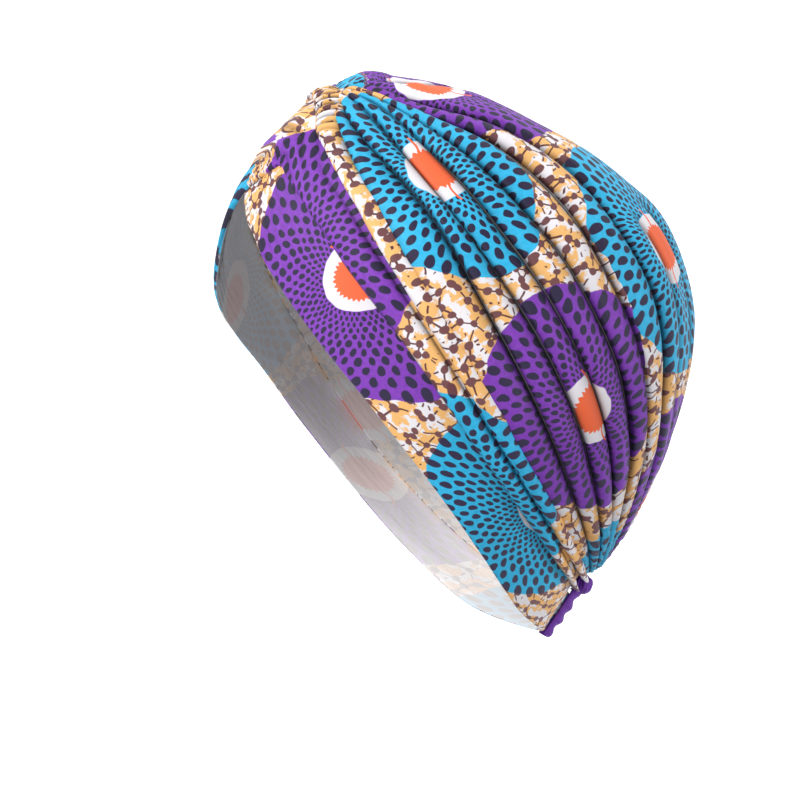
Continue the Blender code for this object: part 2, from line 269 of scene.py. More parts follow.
def cloth_wall(name, outer, inner, cloth, **levels):
    """A closed wall between two grids of points, joined along their four borders.

    cloth holds each point's place on the flat cloth: along it, across it, and the medallions'
    radius there. The inner grid is marked as the reverse of the cloth. levels are further
    numbers at each point of the outer grid, kept under their names."""
    number, face = grid_faces(*outer.shape[:2])
    count = number.size
    border = np.concatenate([number[0, :-1], number[:-1, -1], number[-1, :0:-1], number[:0:-1, 0]])
    after = np.roll(border, -1)
    rim = np.stack([after, border, border + count, after + count], axis=-1)
    faces = np.concatenate([face, face[:, ::-1] + count, rim])
    points = np.concatenate([outer.reshape(-1, 3), inner.reshape(-1, 3)]) * MM
    mesh = bpy.data.meshes.new(name)
    mesh.from_pydata(points.tolist(), [], faces.tolist())
    keep_places(mesh, np.tile(cloth.reshape(-1, 3), (2, 1)))
    levels = {title: np.tile(level.ravel(), 2) for title, level in levels.items()}
    levels["reverse"] = np.repeat([0.0, 1.0], count)
    for title, level in levels.items():
        noted = mesh.attributes.new(title, "FLOAT", "POINT")
        noted.data.foreach_set("value", level.astype(np.float32))
    return finished(mesh)


def finished(mesh):
    """An object from the mesh, with points that meet joined and the faces turned outward."""
    work = bmesh.new()
    work.from_mesh(mesh)
    bmesh.ops.remove_doubles(work, verts=work.verts, dist=1e-6)
    bmesh.ops.dissolve_degenerate(work, edges=work.edges, dist=1e-7)
    bmesh.ops.recalc_face_normals(work, faces=work.faces)
    work.to_mesh(mesh)
    work.free()
    mesh.shade_smooth()
    thing = bpy.data.objects.new(mesh.name, mesh)
    bpy.context.scene.collection.objects.link(thing)
    return thing


def feed(tree, node, values):
    """Gives a node its inputs, by name or number: plain values, or links from other outputs."""
    for title, value in values.items():
        socket = node.inputs[title]
        if isinstance(value, bpy.types.NodeSocket):
            tree.links.new(value, socket)
        else:
            socket.default_value = value


def calc(tree, operation, *values, clamp=False):
    """A math node's result. Each value is a number or another node's output."""
    made = tree.nodes.new("ShaderNodeMath")
    made.operation = operation
    made.use_clamp = clamp
    feed(tree, made, dict(enumerate(values)))
    return made.outputs[0]


def vector_calc(tree, operation, *values):
    """A vector math node. Its first output is a vector, its second a number."""
    made = tree.nodes.new("ShaderNodeVectorMath")
    made.operation = operation
    feed(tree, made, dict(enumerate(values)))
    return made


def inside(tree, depth, softness):
    """1 where the depth inside a printed edge is above 0, and 0 outside it, over a soft line."""
    return calc(tree, "ADD", calc(tree, "DIVIDE", depth, softness), 0.5, clamp=True)


def blend(tree, share, first, second, mode="MIX"):
    """Two colours mixed by the share of the second."""
    made = tree.nodes.new("ShaderNodeMix")
    made.data_type = "RGBA"
    made.blend_type = mode
    feed(tree, made, {0: share, 6: first, 7: second})
    return made.outputs[2]


def joined(tree, x, y, z):
    """A vector from three numbers or outputs."""
    made = tree.nodes.new("ShaderNodeCombineXYZ")
    feed(tree, made, {0: x, 1: y, 2: z})
    return made.outputs[0]


def noise(tree, place, scale, detail, roughness=0.5):
    """A flat noise texture over the cloth: its number and its colour."""
    made = tree.nodes.new("ShaderNodeTexNoise")
    made.noise_dimensions = "2D"
    feed(tree, made, {"Vector": place, "Scale": scale, "Detail": detail, "Roughness": roughness})
    return made.outputs[0], made.outputs[1]


def random_share(tree, place):
    """A random number from 0 to 1, the same wherever the place is the same."""
    made = tree.nodes.new("ShaderNodeTexWhiteNoise")
    made.noise_dimensions = "3D"
    feed(tree, made, {"Vector": place})
    return made.outputs[0]


def dye(red, green, blue):
    """A colour as the eye reads it, 0 to 255, as the linear values that the shader takes."""
    levels = np.array([red, green, blue]) / 255
    return (*(np.where(levels > 0.04045, ((levels + 0.055) / 1.055) ** 2.4, levels / 12.92)), 1.0)


WANDER = 2.2  # mm by which the print strays on the cloth
WANDER_SCALE = 0.11
COLUMN_PITCH = 116.0  # medallions across the cloth, in mm
COLUMN_STAGGER = 39.5
SCALLOPS = 20.0  # round a medallion's rim
SCALLOP_DEPTH = 0.5
EYE_RADIUS = 18.0
SUN_RADIUS = 11.6
SUN_TEETH = 30
TOOTH = 1.7
STEM_HALF_WIDTH = 0.55  # of the wavy line through the eye
STEM_OVER = 3.0  # past the eye's edge
STEM_SWAY = 1.3
STEM_WAVE = 0.3
DOTS_ROUND = 46
RING_RATIO = 1.135  # each ring of dots is this much wider than the one inside it
DOT_LENGTH = 0.48  # shares of the pitch, outward and round
DOT_WIDTH = 0.28
DOT_LEAST = 0.86  # the dots differ in size from this share, by this much more
DOT_MORE = 0.24
DOT_EDGE = 0.14
EYE_MARGIN = 0.4
RIM_OVER = 3.0  # how far past a medallion's rim the last dots may lie
RIM_STRAYS = 6.0
PATCH_SCALE = 0.125  # of the ochre patches of the ground
PATCH_LEVEL = 0.485
PATCH_EDGE = 0.05
TWIG_PITCH = 7.2
TWIG_SCATTER = 0.85
TWIG_HALF_WIDTH = 0.42
TWIG_EDGE = 0.25
TWIGS_LEFT_OUT = 0.04  # share of them
BERRY_RADIUS = 1.9
BERRY_MORE = 1.4  # from the smallest radius to the largest
BERRY_SCALE = 0.19
PRINT_EDGE = 0.35  # mm over which a printed edge softens
SHARP_EDGE = 0.3
MOTTLE_SCALE = 0.5
REVERSE_FADE = 0.8
STITCH_LENGTH = 1.7  # of the join
STITCH_GAP = 0.45
JOIN_HALF_WIDTH = 0.75
JOIN_EDGE = 0.4
JOIN_SINK = 0.5
THREAD_LEAST = 0.25  # share of the thread's colour between its stitches
THREAD_MORE = 0.55
# a dark tint multiplied into the print as painted shade in creases and under folds
PAINTED_SHADE_TINT = (0.03, 0.02, 0.035, 1.0)
RIB_PITCH = 1.1  # of the knit's loops, across and along
COURSE_PITCH = 1.4
RIB_SHARE = 0.6
KNIT_HEIGHT = 0.1
FAINT_LINES = 0.16  # scale of the faint pull lines, and how much longer than wide they are
FAINT_STRETCH = 0.22


def wax_print():
    """The printed cloth, as a group: medallions of dots round an eye, on a twig and berry ground,
    with painted shade multiplied over it in the creases and under the folds.

    A medallion's dots lie on rings whose radii grow by one ratio, half a step round from ring to
    ring, so they grow with the distance from the eye. Colours change from one medallion to the
    next, along the cloth and across it. Twigs join the two nearest points of a scattered set."""
    tree = bpy.data.node_groups.new("wax_print", "ShaderNodeTree")
    for title in ("Cloth", "Row pitch", "Reverse", "Painted shade", "Join"):
        kind = "NodeSocketVector" if title == "Cloth" else "NodeSocketFloat"
        tree.interface.new_socket(title, in_out="INPUT", socket_type=kind)
    tree.interface.new_socket("Colour", in_out="OUTPUT", socket_type="NodeSocketColor")
    tree.interface.new_socket("Height", in_out="OUTPUT", socket_type="NodeSocketFloat")
    given = tree.nodes.new("NodeGroupInput").outputs
    made = tree.nodes.new("NodeGroupOutput").inputs

    def m(operation, *values, clamp=False):
        return calc(tree, operation, *values, clamp=clamp)

    wander = noise(tree, given["Cloth"], WANDER_SCALE, 1.0)[1]
    wander = vector_calc(tree, "SUBTRACT", wander, (0.5, 0.5, 0.5)).outputs[0]
    wander = vector_calc(tree, "MULTIPLY", wander, (WANDER, WANDER, 0.0)).outputs[0]
    cloth = vector_calc(tree, "ADD", given["Cloth"], wander).outputs[0]
    parts = tree.nodes.new("ShaderNodeSeparateXYZ")
    tree.links.new(cloth, parts.inputs[0])
    along, across, rim = parts.outputs

    # Place in the nearest medallion: x and y from its middle, then its radius and turn.
    column = m("ROUND", m("DIVIDE", across, COLUMN_PITCH))
    y = m("SUBTRACT", across, m("MULTIPLY", column, COLUMN_PITCH))
    shifted = m("ADD", along, m("MULTIPLY", column, COLUMN_STAGGER))
    row = m("ROUND", m("DIVIDE", shifted, given["Row pitch"]))
    x = m("SUBTRACT", shifted, m("MULTIPLY", row, given["Row pitch"]))
    odd = m("FLOORED_MODULO", m("ADD", column, row), 2.0)
    radius = m("SQRT", m("ADD", m("MULTIPLY", x, x), m("MULTIPLY", y, y)))
    turn = m("ARCTAN2", y, x)

    # Dots, each an oval of its own size.
    ring = m("LOGARITHM", m("DIVIDE", m("MAXIMUM", radius, 1.0), EYE_RADIUS), RING_RATIO)
    ring_number = m("FLOOR", ring)
    off_ring = m("SUBTRACT", m("FRACT", ring), 0.5)
    round_place = m("ADD", m("MULTIPLY", turn, DOTS_ROUND / (2 * math.pi)),
                    m("MULTIPLY", m("FLOORED_MODULO", ring_number, 2.0), 0.5))
    off_spoke = m("SUBTRACT", m("FRACT", round_place), 0.5)
    medallion = m("ADD", m("MULTIPLY", row, 7.0), column)
    chance = random_share(tree, joined(tree, ring_number, m("FLOOR", round_place), medallion))
    oval = m("SQRT", m("ADD", m("POWER", m("DIVIDE", off_ring, DOT_LENGTH), 2.0),
                       m("POWER", m("DIVIDE", off_spoke, DOT_WIDTH), 2.0)))
    size = m("ADD", m("MULTIPLY", chance, DOT_MORE), DOT_LEAST)
    dots = inside(tree, m("SUBTRACT", size, oval), DOT_EDGE)
    dots = m("MULTIPLY", dots, m("GREATER_THAN", radius, EYE_RADIUS + EYE_MARGIN))
    dot_at = m("MULTIPLY", m("POWER", RING_RATIO, m("ADD", ring_number, 0.5)), EYE_RADIUS)
    dots = m("MULTIPLY", dots, m("LESS_THAN", dot_at, m("ADD", rim, RIM_OVER)))
    strays = m("LESS_THAN", m("SUBTRACT", dot_at, rim), m("MULTIPLY", chance, RIM_STRAYS))
    dots = m("MULTIPLY", dots, strays)

    # The medallion's scalloped disc, and its eye with the toothed sun and the stem.
    scallop = m("MULTIPLY", m("SINE", m("MULTIPLY", turn, SCALLOPS)), SCALLOP_DEPTH)
    disc = inside(tree, m("SUBTRACT", m("ADD", rim, scallop), radius), PRINT_EDGE)
    eye = inside(tree, m("SUBTRACT", EYE_RADIUS, radius), PRINT_EDGE)
    tooth = m("FRACT", m("MULTIPLY", turn, SUN_TEETH / (2 * math.pi)))
    tooth = m("ABSOLUTE", m("SUBTRACT", tooth, 0.5))
    sun_edge = m("ADD", m("MULTIPLY", tooth, 2 * TOOTH), SUN_RADIUS - TOOTH / 2)
    sun = inside(tree, m("SUBTRACT", sun_edge, radius), SHARP_EDGE)
    sway = m("MULTIPLY", m("SINE", m("MULTIPLY", x, STEM_WAVE)), STEM_SWAY)
    off_stem = m("ABSOLUTE", m("SUBTRACT", y, sway))
    stem = inside(tree, m("SUBTRACT", STEM_HALF_WIDTH, off_stem), SHARP_EDGE)
    stem = m("MULTIPLY", stem, m("LESS_THAN", radius, EYE_RADIUS + STEM_OVER))

    # The ground: ochre patches on white, twigs and berries.
    patch = noise(tree, cloth, PATCH_SCALE, 3.0, 0.6)[0]
    ochre = inside(tree, m("SUBTRACT", patch, PATCH_LEVEL), PATCH_EDGE)
    scattered = vector_calc(tree, "DIVIDE", cloth, (TWIG_PITCH, TWIG_PITCH, 1.0)).outputs[0]
    ends = []
    for feature in ("F1", "F2"):
        cells = tree.nodes.new("ShaderNodeTexVoronoi")
        cells.voronoi_dimensions = "2D"
        cells.feature = feature
        feed(tree, cells, {"Vector": scattered, "Scale": 1.0, "Randomness": TWIG_SCATTER})
        ends.append(cells)
    first, second = [cells.outputs["Position"] for cells in ends]
    flat = vector_calc(tree, "MULTIPLY", scattered, (1.0, 1.0, 0.0)).outputs[0]
    way = vector_calc(tree, "SUBTRACT", second, first).outputs[0]
    here = vector_calc(tree, "SUBTRACT", flat, first).outputs[0]
    share = m("DIVIDE", vector_calc(tree, "DOT_PRODUCT", here, way).outputs[1],
              vector_calc(tree, "DOT_PRODUCT", way, way).outputs[1], clamp=True)
    foot = vector_calc(tree, "SCALE", way)
    feed(tree, foot, {"Scale": share})
    beside = vector_calc(tree, "DISTANCE", here, foot.outputs[0]).outputs[1]
    middle = vector_calc(tree, "ADD", first, second).outputs[0]
    middle = vector_calc(tree, "SNAP", middle, (0.03, 0.03, 0.03)).outputs[0]
    twig = inside(tree, m("SUBTRACT", TWIG_HALF_WIDTH, m("MULTIPLY", beside, TWIG_PITCH)), TWIG_EDGE)
    twig = m("MULTIPLY", twig, m("GREATER_THAN", random_share(tree, middle), TWIGS_LEFT_OUT))
    berry_size = m("ADD", m("MULTIPLY", noise(tree, cloth, BERRY_SCALE, 1.0)[0], BERRY_MORE),
                   BERRY_RADIUS - BERRY_MORE / 2)
    berry = m("SUBTRACT", berry_size, m("MULTIPLY", ends[0].outputs["Distance"], TWIG_PITCH))
    berry = inside(tree, berry, SHARP_EDGE)

    # The colours, laid over one another in the order of printing; last, painted shade in the creases.
    mottle = noise(tree, cloth, MOTTLE_SCALE, 3.0, 0.6)[0]
    white = dye(236, 232, 236)
    ground = blend(tree, ochre, white, dye(242, 186, 114))
    ground = blend(tree, twig, ground, dye(96, 54, 54))
    ground = blend(tree, berry, ground, dye(112, 70, 72))
    purple = blend(tree, mottle, dye(108, 44, 160), dye(142, 70, 194))
    teal = blend(tree, mottle, dye(24, 164, 212), dye(62, 196, 240))
    colour = blend(tree, disc, ground, blend(tree, odd, teal, purple))
    dot_colour = blend(tree, disc, dye(96, 54, 60), dye(36, 28, 58))
    colour = blend(tree, dots, colour, dot_colour)
    colour = blend(tree, eye, colour, white)
    colour = blend(tree, m("MAXIMUM", sun, stem), colour, dye(246, 106, 60))
    faded = blend(tree, REVERSE_FADE, colour, dye(246, 243, 242))
    colour = blend(tree, given["Reverse"], colour, faded)
    stitch = m("FRACT", m("DIVIDE", across, STITCH_LENGTH))
    thread = m("ADD", m("MULTIPLY", m("GREATER_THAN", stitch, STITCH_GAP), THREAD_MORE), THREAD_LEAST)
    seam = m("SUBTRACT", JOIN_HALF_WIDTH, m("ABSOLUTE", given["Join"]))
    seam = inside(tree, seam, JOIN_EDGE)
    colour = blend(tree, m("MULTIPLY", seam, thread), colour, dye(40, 22, 62))
    # Painted shade: the colour is multiplied toward the dark tint in the creases and under the folds.
    painted_shade_share = m("MULTIPLY", given["Painted shade"], 1.0, clamp=True)
    colour = blend(tree, painted_shade_share, colour, PAINTED_SHADE_TINT, "MULTIPLY")
    tree.links.new(colour, made["Colour"])

    # The height of the knit's loops, of faint pull lines along it and of the sewn join.
    rib = m("ABSOLUTE", m("SINE", m("MULTIPLY", across, math.pi / RIB_PITCH)))
    course = m("ABSOLUTE", m("SINE", m("MULTIPLY", along, math.pi / COURSE_PITCH)))
    knit = m("ADD", m("MULTIPLY", rib, RIB_SHARE), m("MULTIPLY", course, 1 - RIB_SHARE))
    pulled = vector_calc(tree, "MULTIPLY", cloth, (FAINT_STRETCH, 1.0, 0.0)).outputs[0]
    lines = noise(tree, pulled, FAINT_LINES, 2.0)[0]
    height = m("ADD", m("MULTIPLY", knit, KNIT_HEIGHT), lines)
    height = m("SUBTRACT", height, m("MULTIPLY", seam, JOIN_SINK))
    tree.links.new(height, made["Height"])
    return tree


def knit_material(name, roughness, specular, sheen):
    """A new material with the finish of a knit, its node tree and its shader."""
    material = bpy.data.materials.new(name)
    material.use_nodes = True
    tree = material.node_tree
    shader = tree.nodes["Principled BSDF"]
    feed(tree, shader, {"Roughness": roughness, "Specular IOR Level": specular,
                        "Sheen Weight": sheen, "Sheen Roughness": 0.45})
    return material, tree, shader


def dress(tree, shader, colour, height, strength, distance):
    """Gives the shader its colour, and bumps that follow the height."""
    bump = tree.nodes.new("ShaderNodeBump")
    feed(tree, bump, {"Height": height, "Strength": strength, "Distance": distance})
    feed(tree, shader, {"Base Color": colour, "Normal": bump.outputs[0]})


def printed_knit(name, row_pitch, print_group, has_join=False):
    """The printed cloth, smooth and slightly shiny. Row pitch is from medallion to medallion."""
    material, tree, shader = knit_material(name, 0.56, 0.24, 0.05)
    surface = tree.nodes.new("ShaderNodeGroup")
    surface.node_tree = print_group
    feed(tree, surface, {"Row pitch": row_pitch, "Join": NO_JOIN})
    # Each mesh's painted shade for its creases is read here and darkens the print's colour.
    reads = [("cloth", "Vector", "Cloth"), ("reverse", "Fac", "Reverse"), ("creased", "Fac", "Painted shade")]
    if has_join:
        reads.append(("join", "Fac", "Join"))
    for attribute, output, socket in reads:
        read = tree.nodes.new("ShaderNodeAttribute")
        read.attribute_name = attribute
        feed(tree, surface, {socket: read.outputs[output]})
    dress(tree, shader, surface.outputs["Colour"], surface.outputs["Height"], 0.45, 0.0012)
    return material


def overhang(distance, radius):
    """How far a lapping edge leans out: nothing at its foot and its top, all of it halfway."""
    share = np.clip(distance / radius, 0, 1)
    return 4 * share * (1 - share)


def crown_columns(station):
    """For each column: angle, drop below the dome, place across the flat cloth, 1 where the join
    crosses it, and painted shade, darkest at the bottom of a crease.

    A fold rises in a small quarter circle at its lower, lapping edge and falls in a wide one at
    its upper side. The strip has a lapping edge on both sides."""
    count = len(CREASES)
    angles = [np.radians(smooth(CREASE_STATIONS, row[0], station)) for row in CREASES]
    depths = [crease_depth(row, station) for row in range(count)]
    reach = np.maximum(smooth(CROWN_SECTIONS[:, 0], CROWN_SECTIONS[:, 2], station), 1.0)[:, None]
    middle = np.linspace(STRIP_EDGE[-1], 1 - STRIP_EDGE[-1], STRIP_COLUMNS + 2)[1:-1]
    strip = np.concatenate([STRIP_EDGE, middle, 1 - STRIP_EDGE[:0:-1]])
    back = ease((station - SHIFTS_FROM) / (SHIFTS_TO - SHIFTS_FROM))[:, None]
    drawn_in = GATHERED_SHARE + (1 - GATHERED_SHARE) * ease(station / GATHERED_TO)[:, None]
    columns = []
    for k in range(2 * count - 1):
        side = 1 if k < count else -1
        low = k if k < count else 2 * count - 2 - k
        is_strip = k == count - 1
        if is_strip:
            shares = strip
            ends = (angles[-1], -angles[-1])
            lap, slope = depths[-1], depths[-1]
        else:
            shares = FOLD_SHARES if side > 0 else np.append(0, 1 - FOLD_SHARES[:0:-1])
            ends = (angles[low], angles[low + 1]) if side > 0 else (-angles[low + 1], -angles[low])
            lap, slope = depths[low], depths[low + 1]
        width = np.abs(ends[0] - ends[1])[:, None] * reach
        from_lap = (shares if side > 0 else 1 - shares) * width
        to_slope = width - from_lap
        deepest = DEEPEST_SHARE * width
        lap = np.minimum(lap[:, None], deepest)
        slope = np.minimum(slope[:, None], deepest)
        lap_radius = np.minimum(LAP_RADIUS, LAP_MOST * width)
        slope_radius = lap_radius if is_strip else np.minimum(SLOPE_RADIUS, width - lap_radius)
        drop = lap * quarter_round(from_lap, lap_radius) + slope * quarter_round(to_slope, slope_radius)
        lean = LAP_OVERHANG * lap / CREASE_DEPTH
        shift = lean * overhang(from_lap, lap_radius) * side
        if is_strip:
            shift = shift - lean * overhang(to_slope, lap_radius)
        angle = ends[0][:, None] * (1 - shares) + ends[1][:, None] * shares + shift / reach
        if k < count:
            middle_place = CREASES[k][3] * (1 - back) + CREASES[k][4] * back
        if k < count - 2:
            place = middle_place * drawn_in + from_lap - width / 2
        elif k == count - 2:
            place = middle_place + from_lap - width / 2
        elif is_strip:
            place = middle_place + from_lap
        else:
            place = RIGHT_FOLDS[k - count] + to_slope - width / 2
        # Painted shade, darkest at the bottom of the creases on both sides of the fold.
        slope_shade = LAP_SHADE if is_strip else SLOPE_SHADE
        shade = np.maximum(lap * np.exp(-from_lap / LAP_SHADE), slope * np.exp(-to_slope / slope_shade))
        shade = np.minimum(shade / FULL_SHADE_DEPTH, 1)
        if is_strip:
            for start, stop, share_there, share_after, below, above in TUCKS:
                part = np.clip((station - start) / (stop - start), 0, 1)
                line = share_there + (share_after - share_there) * part
                beyond = (shares - line[:, None]) * width
                there = ease((station - start) / TUCK_FADE) * ease((stop - station) / TUCK_FADE)
                there = there[:, None]
                upper = ease(beyond / TUCK_SPREAD + 0.5)
                place = place + there * (above * upper - below * (1 - upper))
                tuck = there * bell(beyond, 0, TUCK_SPREAD)
                drop = drop + TUCK_DEPTH * tuck
                # The bottom of a tuck gets painted shade too.
                shade = np.maximum(shade, TUCK_SHADE * tuck)
        by_join = np.full_like(place, abs(k - count + 1) < 2)
        columns.append((angle, drop, place, by_join, shade))
    columns.append([part[:, -1:] for part in columns[-1]])
    columns[-1][0] = -angles[0][:, None]
    columns[-1][1] = np.minimum(depths[0][:, None], deepest)
    return [np.concatenate(parts, axis=1) for parts in zip(*columns)]


stations = np.linspace(0, 1, CROWN_ROWS)
# The last grid is the painted shade of the creases, kept on the mesh for its material.
angles, drops, across, by_join, creased = crown_columns(stations)
station = np.broadcast_to(stations[:, None], angles.shape)
from_gather = np.minimum(station, 1 - station)
base = dome(station, angles)
out = dome_outward(station, angles)
steps = np.linalg.norm(np.diff(base, axis=0, prepend=base[:1]), axis=-1)
along = np.cumsum(steps, axis=0)
slack = SLACK_HEIGHT * ripple(along, across, SLACK_SIZE, 3)
pull_height = PULL_HEIGHT + PULL_HEIGHT_GATHERED * ease(1 - from_gather / PULL_REACH)
lively = slack + pull_height * ripple(along / PULL_LENGTH, across, PULL_SIZE, 5)
lively *= ease(from_gather / GATHER_REACH)
along = along + NAPE_TAKEN_UP * ease((station - NAPE_FROM) / (NAPE_TO - NAPE_FROM))
degrees = np.degrees(angles)
off_wrinkle = along - WRINKLE_ALONG - WRINKLE_SLANT * (WRINKLE_ANGLE - degrees)
wrinkle = bell(off_wrinkle, 0, WRINKLE_HALF_WIDTH)
wrinkle *= bell(degrees, WRINKLE_ANGLE, WRINKLE_HALF_LENGTH)
pucker_line = along + PUCKER_SLANT * across + PUCKER_SWAY * np.sin(across / PUCKER_SWAY_SIZE)
pucker = 1 - np.abs(np.sin(math.pi * pucker_line / PUCKER_PITCH))
pucker *= ease((station - PUCKERS_FROM) / PUCKERS_IN) * ease((PUCKERS_TO - station) / PUCKERS_OUT)
drop = drops + gather_sink(station) - lively + WRINKLE_DEPTH * wrinkle + PUCKER_DEPTH * pucker
# The wrinkle and the puckers add painted shade to that of the creases.
creased = np.maximum(creased, SOFT_SHADE * np.maximum(wrinkle, pucker**2))
outer = base - drop[..., None] * out
inner = base - (drop + CROWN_WALL)[..., None] * out
for grid in (outer, inner):
    grid[0] = grid[0].mean(axis=0)
    grid[-1] = grid[-1].mean(axis=0)
from_join = along - JOIN_ALONG - JOIN_SLANT * np.maximum(np.abs(degrees) - JOIN_BEND, 0)
from_join = np.where(by_join > 0.5, from_join, NO_JOIN)
cloth = spread(
    along - TEAL_EYE_ALONG + (from_join < 0) * PATCH_SHIFT[0],
    across + (from_join < 0) * PATCH_SHIFT[1],
    MEDALLION,
)
crown = cloth_wall("crown_knit", outer, inner, cloth, creased=creased, join=from_join)
print_group = wax_print()
crown.data.materials.append(printed_knit("crown_print", ROW_PITCH, print_group, has_join=True))
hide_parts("crown")
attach(crown, "root")

# Under band: a doubled strip of the same knit. From the wearer's right temple it passes over the
# forehead, under the other band, and frames the left side of the opening down to the nape.
HEM = (
    # station, left x, y, z, right x, y, z, swell of the ring between hem and crown
    (0.0, (0.0, -103.5, -68.1), (0.0, -103.5, -68.1), 8.0),
    (0.1, (23.0, -101.0, -67.6), (-17.0, -105.0, -93.6), 8.0),
    (0.2, (34.0, -94.5, -84.6), (-34.0, -99.0, -106.6), 6.0),
    (0.3, (46.0, -84.5, -104.6), (-47.0, -88.0, -118.6), 5.0),
    (0.4, (57.0, -71.5, -125.6), (-57.0, -73.0, -133.6), 3.0),
    (0.5, (66.0, -57.0, -145.6), (-66.0, -58.0, -150.6), 2.0),
    (0.6, (72.0, -39.0, -169.6), (-72.0, -39.0, -172.6), 1.5),
    (0.7, (73.5, -18.0, -196.6), (-73.5, -18.0, -197.6), 1.0),
    (0.8, (66.0, 2.0, -221.6), (-66.0, 2.0, -221.6), 1.0),
    (0.9, (43.0, 26.0, -247.6), (-43.0, 26.0, -247.6), 1.5),
    (1.0, (0.0, 48.3, -259.4), (0.0, 48.3, -259.4), 0.5),
)
RING_MIDDLE = np.array([0.0, -9.0, -119.6])  # middle of the hollow that the bands go round
EDGE_ANGLES = (90, 86, 108, 107, 103, 101, 98)  # of the line where the ring meets the crown
EDGE_SINK = 6.0  # of the ring's upper line below the dome
EDGE_REACH = 0.08
BAND_WALL = 2.0
EDGE_WALL = 0.2  # where a band is rounded off
LAYER_GAP = 0.4
BAND_END = 0.996
BAND_ROWS = 461
BAND_COLUMNS = 57
COLUMNS_CROWD = 0.8  # toward both edges of a band: 0 is evenly spaced
BAND_EDGE_RADIUS = 1.7
INNER_RELIEF = 0.5  # share of a band's folds that shows on its inner side
CROSSING_REACH = 0.055  # ring places over which the print is drawn round at the crossing
DRAWN_FROM = 0.36  # share across the ring: the print is drawn one way above, the other way below
DRAWN_OVER = 0.16
DRAWN_TO = 0.72
DRAWN_FADE = 0.15
LOWER_CROSSING = 0.05  # ring place where the lower part is drawn most
LEAN_FROM = -0.6  # in medallion pitches from the teal eye; the print leans from here to the back
LEAN_OVER = 0.2
LEAN_HEIGHT = 48.0  # above the hem
UNDER_BAND = np.array([
    # ring place, lower edge, upper edge, as shares across the ring
    (-1.0, 0.58, 0.98),
    (-0.9, 0.56, 0.97),
    (-0.5, 0.5, 0.96),
    (-0.2, 0.5, 0.96),
    (-0.1, 0.43, 0.96),
    (0.0, 0.3, 0.93),
    (0.05, 0.12, 0.96),
    (0.1, 0.02, 0.96),
    (0.2, 0.0, 0.96),
    (0.9, 0.0, 0.97),
    (1.0, 0.0, 0.98),
])


def crown_edge(ring):
    """The foot of the crown's lowest fold, on the left side for a ring place above 0."""
    station = np.abs(ring)
    angle = np.radians(smooth(CREASE_STATIONS, EDGE_ANGLES, station))
    away = np.clip(np.minimum(station, 1 - station) / EDGE_REACH, 0, 1)
    sink = gather_sink(station) + EDGE_SINK * away
    foot = dome(station, angle) - sink[..., None] * dome_outward(station, angle)
    foot[..., 0] *= np.where(np.asarray(ring) < 0, -1.0, 1.0)
    return foot


def hem_curve(ring):
    """A smooth curve through the hem's points, right side first. Each end of the table is carried on
    by the point that follows on the other side."""
    left = [row[1] for row in HEM]
    right = [row[2] for row in HEM]
    stations = [row[0] for row in HEM]
    places = [-s for s in reversed(stations)] + stations[1:]
    points = right[::-1] + left[1:]
    pitch = places[-1] - places[-2]
    places = [places[0] - pitch] + places + [places[-1] + pitch]
    points = [left[-2]] + points + [right[-2]]
    return smooth(places, points, ring)


def ring_width(ring):
    """The straight distance from the hem to the crown's edge, for a column of ring places."""
    return np.linalg.norm(crown_edge(ring[:, 0]) - hem_curve(ring[:, 0]), axis=-1)[:, None]


def ring_form(ring, share, lift):
    """The ring's surface: straight lines from the hem to the crown's edge, swelled by 4 shares less
    4 shares squared, and moved outward by the lift."""
    ring, share, lift = np.broadcast_arrays(
        np.asarray(ring, float), np.asarray(share, float), np.asarray(lift, float)
    )
    hem = hem_curve(ring)
    line = crown_edge(ring) - hem
    point = hem + share[..., None] * line
    out = point - RING_MIDDLE
    along_line = unit(line)
    out = unit(out - (out * along_line).sum(-1, keepdims=True) * along_line)
    swell = smooth([row[0] for row in HEM], [row[3] for row in HEM], np.abs(ring))
    rise = swell * 4 * share * (1 - share) + lift
    return point + rise[..., None] * out


def laid_length(ring, share):
    """Distance along the ring from the front middle, measured at one share, negative on the right."""
    places = np.linspace(-1, 1, 2001)
    line = ring_form(places, share, 0.0)
    length = np.concatenate([[0], np.cumsum(np.linalg.norm(np.diff(line, axis=0), axis=-1))])
    return np.interp(ring, places, length - np.interp(0, places, length))


def band_edges(table, ring):
    """Lower and upper edge along the table, with its corners rounded by a running mean."""
    fine = np.linspace(-1.1, 1.1, 2201)
    window = np.hanning(41) / np.hanning(41).sum()
    both = []
    for column in (1, 2):
        line = np.interp(fine, table[:, 0], table[:, column])
        line = np.convolve(np.pad(line, 20, mode="edge"), window, mode="valid")
        both.append(np.interp(ring, fine, line))
    return both


